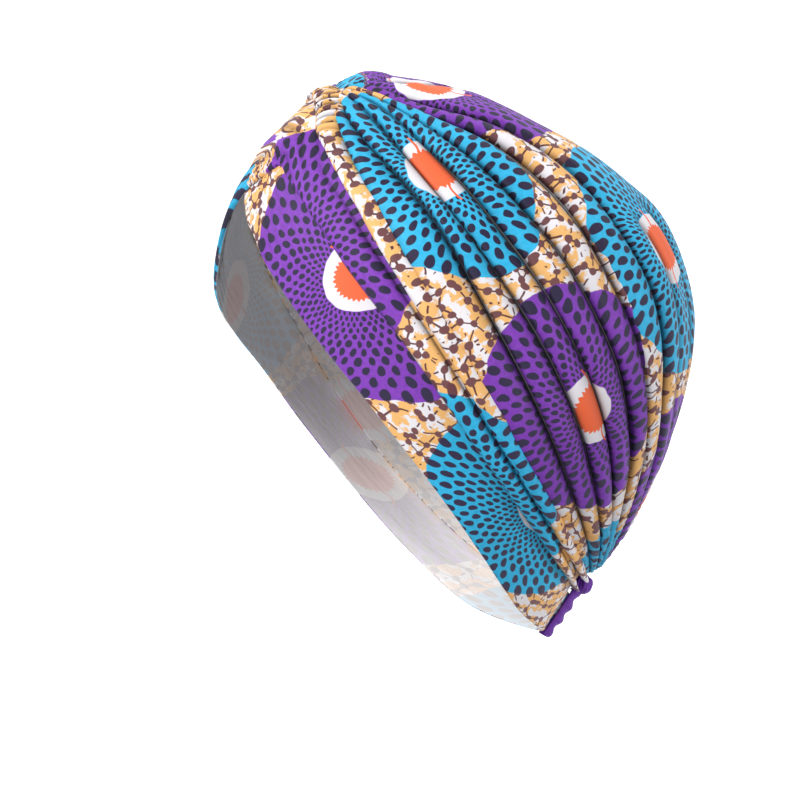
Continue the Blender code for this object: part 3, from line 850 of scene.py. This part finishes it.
def make_band(name, table, lift_at, relief, print_at):
    """A band between the two edges of its table, rounded over at both edges.

    relief gives height added to the outer side and painted shade for the creases, from the ring
    place, the share across the band, and the distances along the ring and from the band's lower edge.
    print_at holds where the medallions lie on it, their radii from the back to the front and
    past the crossing, how far the print leans at the hem and above it, and how far it is drawn
    round at the crossing, above and below."""
    ring = np.linspace(-BAND_END, BAND_END, BAND_ROWS)[:, None]
    low, high = band_edges(table, ring)
    even = np.linspace(0, 1, BAND_COLUMNS)
    v = even - np.sin(2 * math.pi * even) / (2 * math.pi) * COLUMNS_CROWD
    share = low + (high - low) * v
    length = ring_width(ring)
    width = (high - low) * length
    full = 1 - quarter_round(np.minimum(v, 1 - v) * width, BAND_EDGE_RADIUS)
    along = np.broadcast_to(laid_length(ring, print_at["laid_at"]), share.shape)
    # relief gives the band's height and the painted shade of its creases.
    height, creased = relief(np.broadcast_to(ring, share.shape), v, along, v * width)
    lift = lift_at(ring, share)
    inner = ring_form(ring, share, lift + height * INNER_RELIEF)
    wall = EDGE_WALL + (BAND_WALL - EDGE_WALL) * full
    outer = ring_form(ring, share, lift + wall + height * full)
    above, below = print_at["drawn"]
    upper = ease((share - DRAWN_FROM) / DRAWN_OVER)
    fading = 1 - ease((share - DRAWN_TO) / DRAWN_FADE)
    drawn = above * bell(ring, 0, CROSSING_REACH) * upper * fading
    drawn = drawn - below * bell(ring, LOWER_CROSSING, CROSSING_REACH) * (1 - upper)
    pitch = print_at["pitch"]
    x = (along + drawn - print_at["along"]) * print_at["scale"]
    back = ease((x / pitch - LEAN_FROM) / LEAN_OVER)
    x = x + back * np.interp(share * length, (0, LEAN_HEIGHT), print_at["lean"])
    y = (share * length - np.interp(ring, *print_at["across"])) * print_at["scale"]
    rim = np.where(x < -0.5 * pitch, print_at["rims"][1], print_at["rims"][0])
    rim = np.where(x < -1.5 * pitch, print_at["rims"][2], rim)
    return cloth_wall(name, outer, inner, spread(x, y, rim), creased=creased)


def pleat(distance, pitch):
    """Rounded ridges with sharp valleys: the root of the sine's size, 0 in a valley and 1 on top."""
    return np.sqrt(np.abs(np.sin(math.pi * distance / pitch)))


PULL_LINES_AT = 0.13  # ring place beside the crossing
PULL_LINES_REACH = 0.1
PULL_LINE_PITCH = 6.5
PULL_LINE_SLANT = 0.35
PULL_LINE_DEPTH = 0.8
# painted shade in the valleys of the pleats
PULL_LINE_SHADE = 0.35
UNDER_SLACK = 0.45  # height of the waves along the hem
UNDER_SLACK_SIZE = 22.0
UNDER_SLACK_LENGTH = 2.2


def under_relief(ring, v, along, from_edge):
    """Fine slanting pleats, strongest beside the crossing, and slack waves along the hem; painted
    shade in the pleats' valleys.
    """
    near = bell(ring, PULL_LINES_AT, PULL_LINES_REACH)
    lines = pleat(from_edge + along * PULL_LINE_SLANT, PULL_LINE_PITCH)
    slack = UNDER_SLACK * ripple(along / UNDER_SLACK_LENGTH, from_edge, UNDER_SLACK_SIZE, 11)
    return PULL_LINE_DEPTH * near * (lines - 0.7) + slack, PULL_LINE_SHADE * near * (1 - lines)


UNDER_EYES = (0.352, 0.74)  # ring places of the purple and the teal medallion
UNDER_EYE_HEIGHTS = (33.6, 48.0)  # above the hem
UNDER_SCALE = 1.06  # of the print: this band is less stretched than the crown
under_along = laid_length(np.array(UNDER_EYES), 0.5)
under_pitch = (under_along[1] - under_along[0]) * UNDER_SCALE
under_band = make_band(
    "under_band_knit", UNDER_BAND, lambda ring, share: np.zeros(share.shape), under_relief,
    {"laid_at": 0.5, "along": under_along[1], "across": (UNDER_EYES, UNDER_EYE_HEIGHTS),
     "scale": UNDER_SCALE, "rims": (62.0, 71.0, 0.0), "lean": (-9.0, 4.0), "drawn": (0.0, 0.0),
     "pitch": under_pitch})
under_band.data.materials.append(printed_knit("under_band_print", under_pitch, print_group))
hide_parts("under_band")
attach(under_band, "root")

# Over band: the other doubled strip. It starts beside the crown on the left, fans out over the
# forehead where it crosses the under band, and frames the right side of the opening.
OVERLAP_SHARE = 0.42  # on the right, below this share, no under band lies beneath it
OVERLAP_REACH = 0.2
OVER_BAND = np.array([
    # ring place, lower edge, upper edge, as shares across the ring
    (-1.0, 0.0, 0.66),
    (-0.5, 0.0, 0.62),
    (-0.3, 0.0, 0.64),
    (-0.15, 0.0, 0.8),
    (-0.02, 0.0, 0.95),
    (0.03, 0.14, 0.94),
    (0.07, 0.24, 0.93),
    (0.1, 0.34, 0.93),
    (0.12, 0.46, 0.93),
    (0.2, 0.54, 0.93),
    (0.33, 0.54, 0.93),
    (0.45, 0.58, 0.93),
    (0.6, 0.615, 0.93),
    (0.75, 0.66, 0.93),
    (0.9, 0.74, 0.86),
    (1.0, 0.69, 0.73),
])
OVER_EYES = (0.275, 0.67)  # ring places of the purple and the teal medallion
OVER_EYE_PLACES = (0.3, 0.55)
OVER_EYE_HEIGHTS = (12.5, 8.0)  # above the hem, so both eyes are folded under
OVER_LAID_AT = 0.65  # share across the ring at which its length is measured
CROSS_PLEAT = 3.9  # width of the small pleats in which the band leaves the crossing
CROSS_PLEATS_WIDTH = 12.0
CROSS_PLEATS_FADE = 6.0
CROSS_PLEATS_AT = -0.05
CROSS_PLEATS_REACH = 0.13
CROSS_PLEAT_DEPTH = 2.4
# painted shade in the small pleats' valleys
CROSS_PLEAT_SHADE = 1.1
CROSS_PLEAT_SWAY = 1.5
CROSS_PLEAT_SWAY_SIZE = 17.0
FAN_AT = 0.08  # ring place of the broad folds over the forehead
FAN_REACH = 0.1
FAN_FOLDS = 3.0  # across the band
FAN_SLANT = 60.0  # mm along the band by which they shift one fold
FAN_DEPTH = 1.6
# painted shade in the valleys of the broad folds
FAN_SHADE = 0.8
OVER_SLACK = 0.35
OVER_SLACK_SIZE = 20.0
ROLL_HEIGHT = 2.8  # of the rounded stretch down the left side
ROLL_SHARE = 0.66  # of the band's width there; the rolled fold lies on the rest
ROLL_FROM = 0.1
ROLL_OVER = 0.3
# painted shade along the band's lower edge and along the roll's edge
ROLL_SHADE = 0.9


def over_lift(ring, share):
    """One layer up, on the under band, and down by that layer where none lies beneath it."""
    ring, share = np.broadcast_arrays(np.asarray(ring, float), np.asarray(share, float))
    lowered = 1 - ease(share / OVERLAP_SHARE)
    return (BAND_WALL + LAYER_GAP) * (1 - lowered * np.clip(-ring / OVERLAP_REACH, 0, 1))


def over_relief(ring, v, along, from_edge):
    """A round roll down the left side, small pleats along the lower edge where the band leaves the
    crossing, and broad soft folds that fan out over the forehead, with painted shade in their
    valleys, along the lower edge and along the roll's edge."""
    left = ease((ring - ROLL_FROM) / ROLL_OVER)
    arch = ROLL_HEIGHT * left * np.sin(math.pi * np.clip(v / ROLL_SHARE, 0, 1)) ** 0.6
    leaving = bell(ring, CROSS_PLEATS_AT, CROSS_PLEATS_REACH)
    leaving = leaving * (1 - ease((from_edge - CROSS_PLEATS_WIDTH) / CROSS_PLEATS_FADE))
    sway = CROSS_PLEAT_SWAY * np.sin(along / CROSS_PLEAT_SWAY_SIZE)
    ridges = pleat(from_edge + sway, CROSS_PLEAT)
    fan = bell(ring, FAN_AT, FAN_REACH) * (1 - leaving)
    folds = pleat(v * FAN_FOLDS + along / FAN_SLANT, 1.0)
    slack = OVER_SLACK * ripple(along / 2.0, from_edge, OVER_SLACK_SIZE, 17)
    height = arch + CROSS_PLEAT_DEPTH * leaving * (ridges - 0.6) + FAN_DEPTH * fan * (folds - 0.7)
    # Painted shade in the valleys of the pleats and folds, along the lower edge, and at the roll's
    # edge.
    creased = np.maximum(CROSS_PLEAT_SHADE * leaving * (1 - ridges), FAN_SHADE * fan * (1 - folds))
    edge = np.maximum(np.exp(-from_edge / 0.5), np.exp(-np.abs(v - ROLL_SHARE) / 0.04))
    return height + slack, np.maximum(creased, ROLL_SHADE * left * edge)


over_along = laid_length(np.array(OVER_EYES), OVER_LAID_AT)
over_pitch = over_along[1] - over_along[0]
over_band = make_band(
    "over_band_knit", OVER_BAND, over_lift, over_relief,
    {"laid_at": OVER_LAID_AT, "along": over_along[1], "across": (OVER_EYE_PLACES, OVER_EYE_HEIGHTS),
     "scale": 1.0, "rims": (58.0, 64.0, 63.0), "lean": (0.0, 0.0), "drawn": (22.0, 18.0),
     "pitch": over_pitch})
over_band.data.materials.append(printed_knit("over_band_print", over_pitch, print_group))
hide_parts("over_band")
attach(over_band, "root")

# Rolled fold: a roll of the same knit laid over the join between the bands and the crown. Its
# cloth is bunched into small cross folds where it is caught at the forehead.
ROLLED_FOLD = np.array([
    # ring place, lower edge, upper edge, as shares across the ring
    (-1.0, 0.87, 0.93),
    (-0.9, 0.855, 0.965),
    (-0.75, 0.825, 0.985),
    (-0.5, 0.81, 0.985),
    (-0.3, 0.85, 0.995),
    (-0.2, 0.895, 0.995),
    (-0.12, 0.9, 0.99),
    (-0.04, 0.91, 1.0),
    (0.0, 0.94, 1.05),
    (0.04, 0.87, 0.99),
    (0.07, 0.81, 0.98),
    (0.12, 0.79, 0.98),
    (0.2, 0.85, 0.985),
    (0.3, 0.82, 0.985),
    (0.5, 0.81, 0.985),
    (0.75, 0.825, 0.985),
    (0.9, 0.855, 0.965),
    (1.0, 0.87, 0.93),
])
FOLD_HEIGHT = 4.6
FOLD_FEET = (4.9, 2.0)  # above the ring: on the over band, and beside the crown
FOLD_WALL = 1.5
FOLD_END = 0.999
FOLD_ROWS = 901
ROWS_CROWD = 0.6  # toward the forehead: 0 is evenly spaced
ARCH_COLUMNS = 33
CURL = 0.6  # radians by which the roll's edges turn under
TAPER_FROM = 0.92  # ring place from which the roll thins toward the tuft
TAPER = 0.65
FOLD_LAID_AT = 0.9  # share across the ring at which its length is measured
FOLD_PITCH = 140.0  # from medallion to medallion
FOLD_TEAL = 0.652  # ring place of the teal medallion that the roll cuts
FOLD_TEAL_FROM = 0.42  # no medallion shows in front of this ring place
FOLD_TEAL_ACROSS = 41.0
FOLD_MEDALLION = 56.0
FOLD_ROUND = 2.5  # cloth round the roll, in half widths of it for each half turn
FOLD_SHIFT = 0.035  # share of the ring by which the roll leans onto the crown
FOLD_SHIFT_OVER = 0.1
FOLD_EDGE_SHADE = 0.35  # radians of the roll, from its edges, that get painted shade
FOLD_SLACK = 0.3
FOLD_SLACK_SIZE = 14.0
BUNCH_PITCH = 4.3  # from one small cross fold to the next
BUNCH_PLACE = 0.075  # ring place of the bunched stretch on the left
BUNCH_RIGHT = 0.35  # share of it at the same place on the right
BUNCH_REACH = 0.08
BUNCH_DEPTH = 3.3
BUNCH_SLANT = 1.6  # mm by which the cross folds slant from edge to middle
BUNCH_SWAY = 0.8
BUNCH_SWAY_SIZE = 5.3
# painted shade in the valleys of the small cross folds
BUNCH_SHADE = 1.7
BUNCHED_CLOTH = 22.0  # mm of cloth taken up by the small folds

even = np.linspace(-1, 1, FOLD_ROWS)[:, None]
ring = FOLD_END * ((1 - ROWS_CROWD) * even + ROWS_CROWD * even**3)
lean = FOLD_SHIFT * ease(np.abs(ring) / FOLD_SHIFT_OVER)
low = smooth(ROLLED_FOLD[:, 0], ROLLED_FOLD[:, 1], ring) + lean
high = smooth(ROLLED_FOLD[:, 0], ROLLED_FOLD[:, 2], ring) + lean
turn = np.linspace(-CURL, math.pi + CURL, ARCH_COLUMNS)
length = ring_width(ring)
half = (high - low) / 2 * length
along = np.broadcast_to(laid_length(ring, FOLD_LAID_AT), (FOLD_ROWS, ARCH_COLUMNS))
arch_across = (1 - np.cos(turn)) / 2
feet = FOLD_FEET[0] * (1 - arch_across) + FOLD_FEET[1] * arch_across
thin = 1 - TAPER * ease((np.abs(ring) - TAPER_FROM) / (1 - TAPER_FROM))
bunch = bell(ring, BUNCH_PLACE, BUNCH_REACH) + BUNCH_RIGHT * bell(ring, -BUNCH_PLACE, BUNCH_REACH)
slant = BUNCH_SLANT * np.cos(turn) * np.sign(ring)
ridges = pleat(along + slant + BUNCH_SWAY * np.sin(along / BUNCH_SWAY_SIZE), BUNCH_PITCH)
slack = FOLD_SLACK * ripple(along, 5 * turn, FOLD_SLACK_SIZE, 23)
waves = BUNCH_DEPTH * bunch * (ridges - 0.75) + slack
walls = []
for inset in (0.0, FOLD_WALL):
    share = (low + high) / 2 - (half - inset + 0.5 * waves) * np.cos(turn) / length
    walls.append(ring_form(ring, share, thin * (feet + (FOLD_HEIGHT - inset + waves) * np.sin(turn))))
taken_up = BUNCHED_CLOTH * np.sign(ring) * ease(np.abs(ring) / (2 * BUNCH_PLACE))
teal_along = laid_length(FOLD_TEAL, FOLD_LAID_AT) + BUNCHED_CLOTH
cloth = spread(
    along + taken_up - teal_along,
    FOLD_TEAL_ACROSS + turn / math.pi * FOLD_ROUND * half,
    FOLD_MEDALLION * (ring > FOLD_TEAL_FROM),
)
# Painted shade along the roll's edges, where they turn under, and in the small cross folds.
from_edge = np.minimum(turn + CURL, math.pi + CURL - turn)
painted_edge_shade = np.exp(-from_edge / FOLD_EDGE_SHADE)
creased = np.maximum(BUNCH_SHADE * bunch * (1 - ridges), painted_edge_shade)
rolled_fold = cloth_wall("rolled_fold_knit", walls[0], walls[1], cloth, creased=creased)
rolled_fold.data.materials.append(printed_knit("rolled_fold_print", FOLD_PITCH, print_group))
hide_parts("rolled_fold")
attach(rolled_fold, "root")

# Nape seam: a narrow ridge of plain purple knit, sewn over the place where the ends of the bands
# meet. Two rows of small stitches hold it down.
SEAM_WIDTH = 8.5
SEAM_HEIGHT = 4.4
SEAM_WALL = 1.0
SEAM_SHARES = (0.0, 0.97)
SEAM_ROWS = 91
SEAM_COLUMNS = 19
STITCH_PITCH = 2.4
STITCH_DEPTH = 0.35
RUFFLE_PITCH = 8.0  # the ridge is slack, and waves along its length
RUFFLE_DEPTH = 0.7
SHADE_SCALE = 0.35  # of the changes of shade in the plain knit
LOOP_WAVE = 4.2  # radians of its loops' wave for each mm


def plain_knit(name):
    """Plain purple knit with slight changes of shade, and the bump of its loops."""
    material, tree, shader = knit_material(name, 0.6, 0.3, 0.12)
    read = tree.nodes.new("ShaderNodeAttribute")
    read.attribute_name = "cloth"
    shade = noise(tree, read.outputs["Vector"], SHADE_SCALE, 3.0, 0.6)[0]
    colour = blend(tree, shade, dye(78, 30, 128), dye(132, 64, 190))
    parts = tree.nodes.new("ShaderNodeSeparateXYZ")
    tree.links.new(read.outputs["Vector"], parts.inputs[0])
    wave = calc(tree, "MULTIPLY", parts.outputs[1], LOOP_WAVE)
    rib = calc(tree, "ABSOLUTE", calc(tree, "SINE", wave))
    dress(tree, shader, colour, calc(tree, "ADD", rib, shade), 0.4, 0.0004)
    return material


share = np.linspace(*SEAM_SHARES, SEAM_ROWS)[:, None]
turn = np.linspace(0, math.pi, SEAM_COLUMNS)
ridge_across = (1 - np.cos(turn)) / 2
base = ring_form(1.0, share, 0.0)
out = unit(ring_form(1.0, share, 1.0) - base)
length = np.linalg.norm(base[-1, 0] - base[0, 0])
along = share / SEAM_SHARES[1] * length
stitch = STITCH_DEPTH * np.abs(np.sin(math.pi * along / STITCH_PITCH)) * np.sin(2 * turn) ** 2
feet = BAND_WALL + LAYER_GAP + over_lift(-1.0, share) * ridge_across
ruffle = RUFFLE_DEPTH * np.sin(2 * math.pi * along / RUFFLE_PITCH)
height = feet + (SEAM_HEIGHT - SEAM_WALL + stitch + ruffle) * np.sin(turn)
middle = base + ((0.5 - ridge_across) * SEAM_WIDTH)[None, :, None] * SIDE
inner = middle + height[..., None] * out
outer = inner + SEAM_WALL * out
cloth = spread(along, ridge_across * SEAM_WIDTH, 0.0)
nape_seam = cloth_wall("nape_seam_knit", outer, inner, cloth)
nape_seam.data.materials.append(plain_knit("seam_purple"))
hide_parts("nape_seam")
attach(nape_seam, "root")

# Nape tuft: the gathered ends of the cloth, pulled tight by thread into a small puckered knot of
# the plain purple knit. It is sewn down where the folds of the crown end, above the seam.
TUFT_RADII = (5.4, 4.6, 5.0)
TUFT_PLACE = np.array([0.0, -0.9, -2.2])  # from the nape gather
TUFT_LOBES = 5
LOBE_SHARE = 0.12
PUCKERS = 15
PUCKER_SHARE = 0.05
TUFT_TURNS = 90
TUFT_LEVELS = 46
WAIST_SHARE = 0.1  # the thread draws a waist into the tuft
WAIST_AT = 0.9  # radians from its top
WAIST_REACH = 0.16
TUFT_CLOTH = 4.0  # mm of cloth for each radian

polar = np.linspace(0.001, math.pi - 0.001, TUFT_LEVELS)[:, None]
turn = np.linspace(0, 2 * math.pi, TUFT_TURNS + 1)[None, :]
body = 1 + (LOBE_SHARE * np.cos(TUFT_LOBES * turn + 1.5 * np.cos(polar))
            + PUCKER_SHARE * np.sin(PUCKERS * turn + 2 * polar)) * np.sin(polar)
body = body - WAIST_SHARE * bell(polar, WAIST_AT, WAIST_REACH)
ball = spread(
    TUFT_RADII[0] * body * np.sin(polar) * np.cos(turn),
    TUFT_RADII[1] * body * np.sin(polar) * np.sin(turn),
    TUFT_RADII[2] * body * np.cos(polar),
) + NAPE_GATHER + TUFT_PLACE
ball[[0, -1]] = ball[[0, -1]].mean(axis=1, keepdims=True)
faces = np.roll(grid_faces(*ball.shape[:2])[1][:, ::-1], 1, axis=1)
mesh = bpy.data.meshes.new("nape_tuft_knit")
mesh.from_pydata((ball.reshape(-1, 3) * MM).tolist(), [], faces.tolist())
keep_places(mesh, spread(TUFT_CLOTH * polar, TUFT_CLOTH * turn, 0.0))
nape_tuft = finished(mesh)
nape_tuft.data.materials.append(plain_knit("tuft_purple"))
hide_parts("nape_tuft")
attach(nape_tuft, "root")

# Studio: a pale paper floor that curves up all round like a shallow bowl, soft even light from a
# broad lamp and three weaker ones, and a camera level with the turban, on its left side.
FLOOR_Z = -0.30
FLOOR_RADIUS = 5.4
CURVE_RADIUS = 1.4
WALL_TOP = 4.0
bend = np.linspace(0, math.pi / 2, 13)
profile = np.concatenate([
    [(0.0, FLOOR_Z), (1.0, FLOOR_Z), (3.0, FLOOR_Z)],
    np.stack([FLOOR_RADIUS + CURVE_RADIUS * np.sin(bend),
              FLOOR_Z + CURVE_RADIUS * (1 - np.cos(bend))], axis=-1),
    [(FLOOR_RADIUS + CURVE_RADIUS, WALL_TOP)],
])
turn = np.linspace(0, 2 * math.pi, 97)[:, None]
bowl = spread(profile[:, 0] * np.cos(turn), profile[:, 0] * np.sin(turn), profile[:, 1])
faces = grid_faces(*bowl.shape[:2])[1][:, ::-1]
mesh = bpy.data.meshes.new("studio_floor")
mesh.from_pydata(bowl.reshape(-1, 3).tolist(), [], faces.tolist())
work = bmesh.new()
work.from_mesh(mesh)
bmesh.ops.remove_doubles(work, verts=work.verts, dist=1e-5)
work.to_mesh(mesh)
work.free()
mesh.shade_smooth()
floor = bpy.data.objects.new("studio_floor", mesh)
bpy.context.scene.collection.objects.link(floor)
paper = bpy.data.materials.new("studio_paper")
paper.use_nodes = True
shader = paper.node_tree.nodes["Principled BSDF"]
feed(paper.node_tree, shader, {
    "Base Color": (0.92, 0.92, 0.93, 1.0),
    "Roughness": 0.9,
    "Emission Color": (1.0, 1.0, 1.0, 1.0),
    "Emission Strength": 0.8,
})
mesh.materials.append(paper)
floor.visible_diffuse = False

world = bpy.data.worlds.new("studio")
world.use_nodes = True
sky = world.node_tree.nodes["Background"]
feed(world.node_tree, sky, {"Color": (0.97, 0.98, 1.0, 1.0), "Strength": 0.5})
bpy.context.scene.world = world

PHOTO_AZIMUTH = math.radians(75)  # 0 looks at the front, 90 at the wearer's left side
TARGET = Vector((-0.00497, -0.01855, -0.1488))
toward_camera = Vector((math.sin(PHOTO_AZIMUTH), -math.cos(PHOTO_AZIMUTH), 0.0))
rightward = Vector((math.cos(PHOTO_AZIMUTH), math.sin(PHOTO_AZIMUTH), 0.0))


def soft_light(name, right, up, near, size, power):
    """A square soft light, placed in metres right of, above and in front of the turban."""
    lamp = bpy.data.lights.new(name, "AREA")
    lamp.size = size
    lamp.energy = power
    holder = bpy.data.objects.new(name, lamp)
    holder.location = TARGET + right * rightward + Vector((0, 0, up)) + near * toward_camera
    holder.rotation_euler = (TARGET - holder.location).to_track_quat("-Z", "Y").to_euler()
    bpy.context.scene.collection.objects.link(holder)


soft_light("key_light", -1.7, 1.9, 1.9, 1.3, 80.0)
soft_light("fill_light", -2.2, -0.5, 1.3, 1.6, 20.0)
soft_light("top_light", 0.3, 2.6, -0.9, 1.6, 24.0)
soft_light("back_light", 2.3, 0.35, 0.9, 0.9, 16.0)

LENS = 400.0
DISTANCE = 4.267
camera_data = bpy.data.cameras.new("camera")
camera_data.lens = LENS
camera_data.sensor_width = 36.0
camera = bpy.data.objects.new("camera", camera_data)
camera.location = TARGET + DISTANCE * toward_camera
camera.rotation_euler = (-toward_camera).to_track_quat("-Z", "Y").to_euler()
bpy.context.scene.collection.objects.link(camera)
bpy.context.scene.camera = camera
bpy.context.scene.view_settings.view_transform = "Standard"
